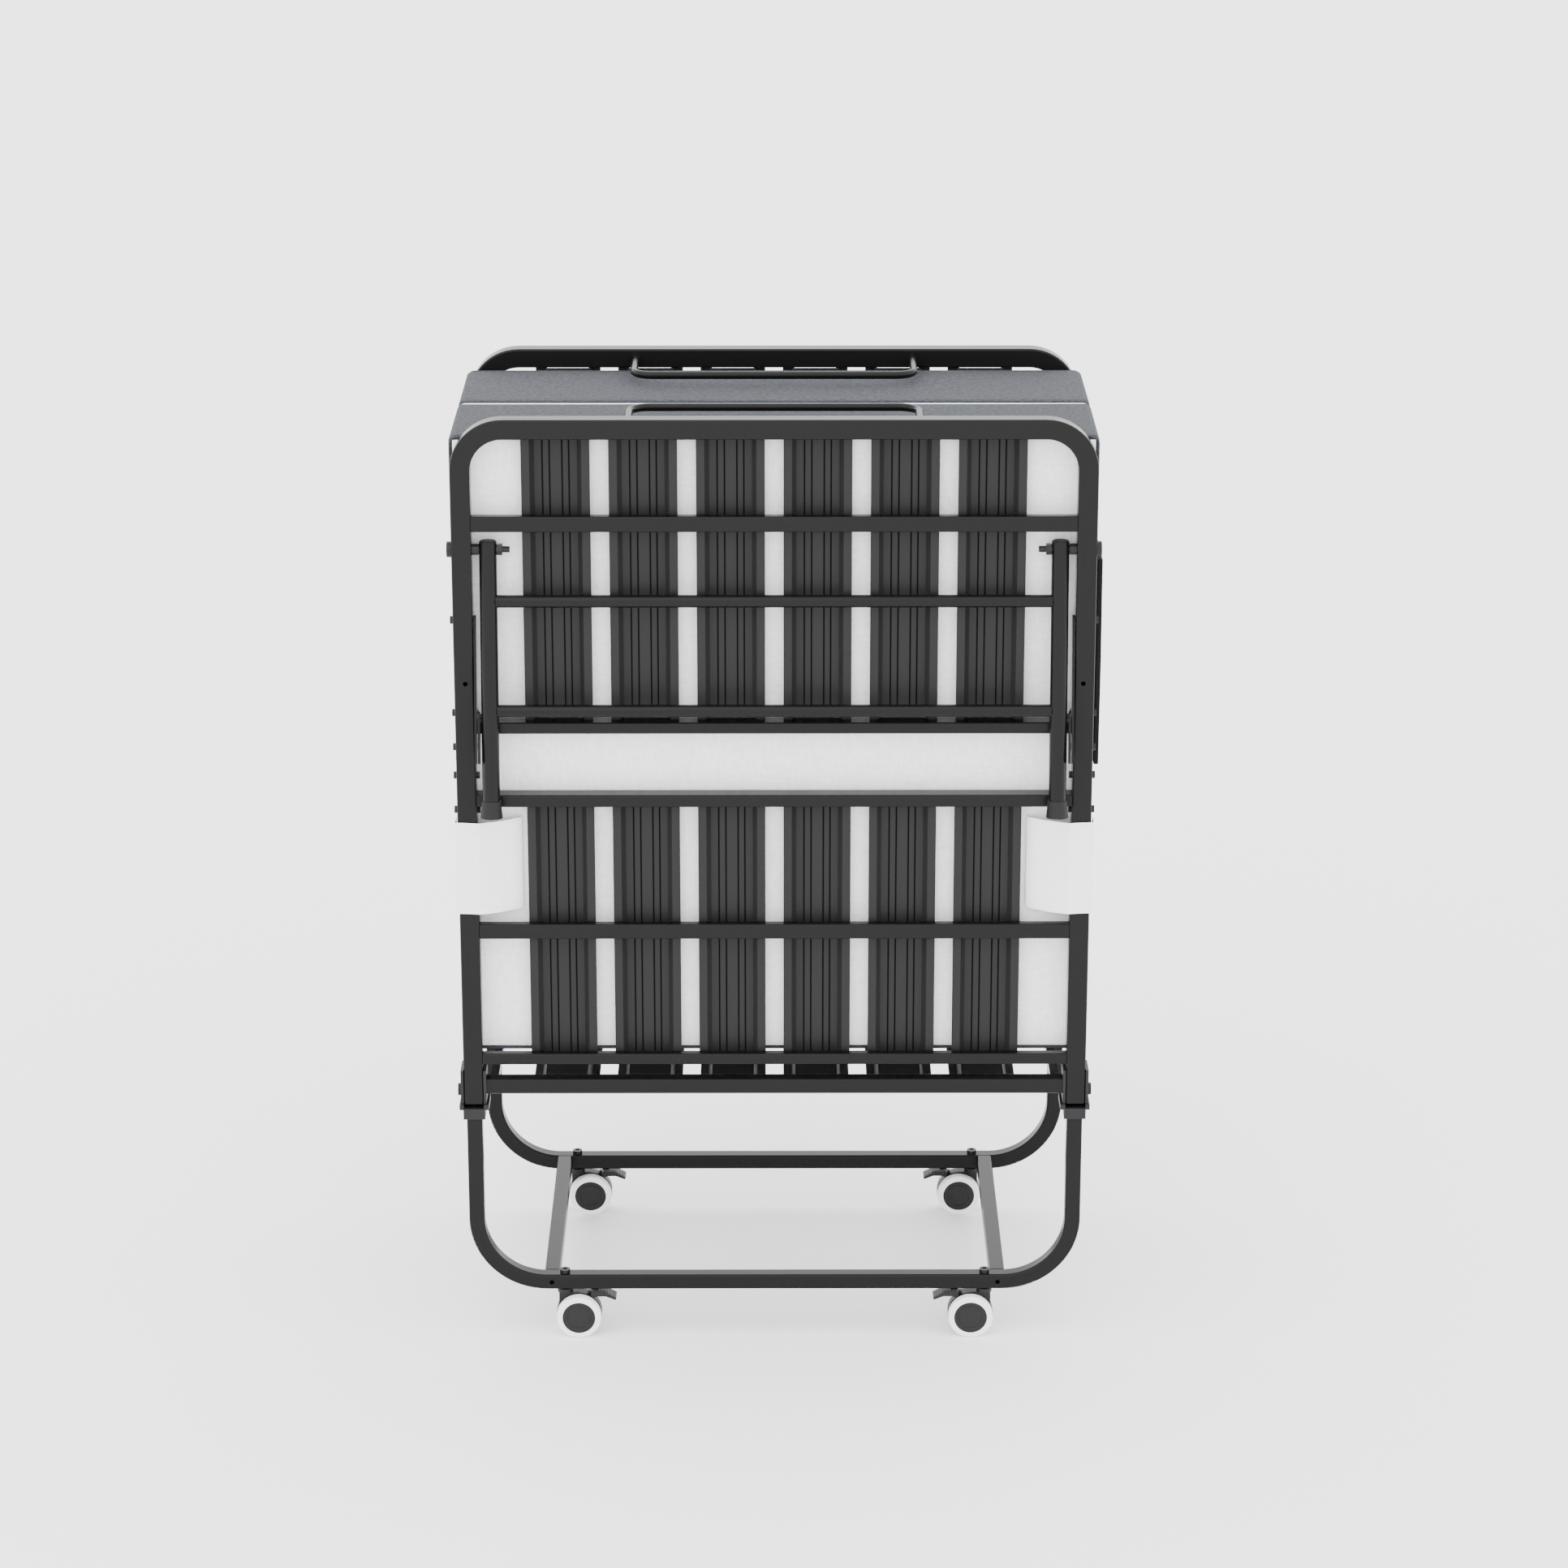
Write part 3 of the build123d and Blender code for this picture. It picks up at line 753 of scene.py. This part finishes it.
@dataclass
class Caster(SubAssembly):
    """Twin-wheel caster, with a raised ring on each hub and ribs on its pedal."""

    side: Side
    turn: int
    hub_x: float = 0.256
    base_y: float = 0.198
    hub_z: float = 0.029
    ring: float = 0.0155
    ring_out: float = 0.021
    ring_wire: float = 0.0009
    ring_points: int = 48
    rib_steps: tuple = (0.009, 0.013, 0.017, 0.021, 0.025)
    rib_half: tuple = (0.0007, 0.0085)
    rib_drop: float = 0.0016
    rib_rise: float = 0.0004
    rib_round: float = 0.0004
    rib_counts: tuple = (2, 6, 2)
    pedal_start: float = 0.020
    pedal_top: float = 0.0615
    pedal_slopes: tuple = ((0.001, 0.13), (0.016, 0.4))  # each from a step on, fall per metre

    @property
    def name(self) -> str:
        """Name shared by the caster's CAD nodes."""
        return f"caster_{self.side.word}_{'left' if self.turn < 0 else 'right'}"

    @property
    def starts(self) -> tuple[str, ...]:
        """First letters of the names of its CAD nodes."""
        return (f"{self.name}_",)

    def build(self, palette: Palette) -> None:
        """Make the rings and ribs.

        Args:
            palette: The materials.
        """
        angle = np.linspace(0, 2 * math.pi, self.ring_points, endpoint=False)
        out = np.stack([np.cos(angle), np.zeros_like(angle), np.sin(angle)], 1)
        for way in (-1, 1):
            y = self.side.value * self.base_y + way * self.ring_out
            centre = np.array([self.turn * self.hub_x, y, self.hub_z])
            points, faces = ring_tube(centre + self.ring * out, out, ACROSS_Y, self.ring_wire)
            piece = mesh_object(f"{self.name}_ring_{'in' if way < 0 else 'out'}", points, faces)
            self._place(piece, "wheels", palette)
        for index, step in enumerate(self.rib_steps):
            rise = self.pedal_top
            for start, slope in self.pedal_slopes:
                rise -= max(0.0, step - start) * slope
            x = self.turn * (self.hub_x - self.pedal_start - step)
            y = self.side.value * self.base_y
            half_x, half_y = self.rib_half
            low = np.array([x - half_x, y - half_y, rise - self.rib_drop])
            high = np.array([x + half_x, y + half_y, rise + self.rib_rise])
            points, faces = rounded_block(low, high, self.rib_round, self.rib_counts, plain)
            self._place(mesh_object(f"{self.name}_rib_{index}", points, faces), "brake", palette)

    def _place(self, piece: bpy.types.Object, part: str, palette: Palette) -> None:
        """Finish a trim piece and put it on its body.

        Args:
            piece: The piece.
            part: Last word of the body's name.
            palette: The materials.
        """
        piece.data.materials.append(palette.slots[Slot.PLASTIC])
        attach(piece, f"{self.name}_{part}")


# ---- whole cot and studio -------------------------------------------------------------------
@dataclass
class FoldingCot:
    """The cot's looks."""

    palette: Palette
    turns: tuple = (-1, 1)

    def dress(self) -> None:
        """Dress every sub-assembly, and stop if a CAD node belongs to none."""
        parts: list[SubAssembly] = [BaseFrame()]
        for side in Side:
            parts += [Panel(side), FoldingLeg(side), LegStays(side)]
            parts += [Caster(side, turn) for turn in self.turns]
        dressed = sum(part.dress(self.palette) for part in parts)
        if dressed != len(frame["record"]["subparts"]):
            raise ValueError(f"{dressed} CAD nodes dressed, not {len(frame['record']['subparts'])}")

    def build(self) -> None:
        """Make the soft pieces and the small trim."""
        for side in Side:
            MattressHalf(side).build(self.palette)
            for turn in self.turns:
                Strap(side, turn).build(self.palette)
                Caster(side, turn).build(self.palette)
            Panel(side).build(self.palette)
        MattressFold().build(self.palette)
        Pocket().build(self.palette)


@dataclass
class Studio:
    """Pale floor, soft light and the camera."""

    lens: float = 103.1
    sensor: float = 36.0
    place: tuple = (-0.0013, -5.5705, 2.5394)
    turn: tuple = (71.648, 0.0, -0.143)
    floor_half: float = 30.0
    floor_shade: float = 0.97
    world_strength: float = 3.5
    box_size: float = 3.0
    box_power: float = 40.0
    box_place: tuple = (-1.5, -2.5, 3.8)
    box_turn: tuple = (38, 0, -30)

    def build(self) -> None:
        """Make the floor, world, light and camera."""
        corners = self.floor_half * np.array([[-1, -1, 0], [1, -1, 0], [1, 1, 0], [-1, 1, 0]], float)
        floor = mesh_object("floor", corners, np.array([[0, 1, 2, 3]]))
        pale = bpy.data.materials.new("pale_floor")
        pale.use_nodes = True
        shader = pale.node_tree.nodes["Principled BSDF"]
        shader.inputs["Base Color"].default_value = (*(self.floor_shade,) * 3, 1)
        shader.inputs["Roughness"].default_value = 1.0
        floor.data.materials.append(pale)
        world = bpy.data.worlds.new("studio")
        world.use_nodes = True
        sky = world.node_tree.nodes["Background"]
        sky.inputs["Color"].default_value = (1, 1, 1, 1)
        sky.inputs["Strength"].default_value = self.world_strength
        bpy.context.scene.world = world
        lamp = bpy.data.lights.new("softbox", "AREA")
        lamp.size, lamp.energy = self.box_size, self.box_power
        light = bpy.data.objects.new("softbox", lamp)
        light.location = self.box_place
        light.rotation_euler = [math.radians(a) for a in self.box_turn]
        bpy.context.scene.collection.objects.link(light)
        data = bpy.data.cameras.new("camera")
        data.lens, data.sensor_width = self.lens, self.sensor
        camera = bpy.data.objects.new("camera", data)
        camera.location = self.place
        camera.rotation_euler = [math.radians(a) for a in self.turn]
        bpy.context.scene.collection.objects.link(camera)
        bpy.context.scene.camera = camera


def main() -> None:
    """Build the whole scene."""
    logging.basicConfig(level=logging.INFO)
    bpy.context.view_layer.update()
    cot = FoldingCot(Palette.make())
    cot.dress()
    cot.build()
    Studio().build()


if __name__ == "__main__":
    main()
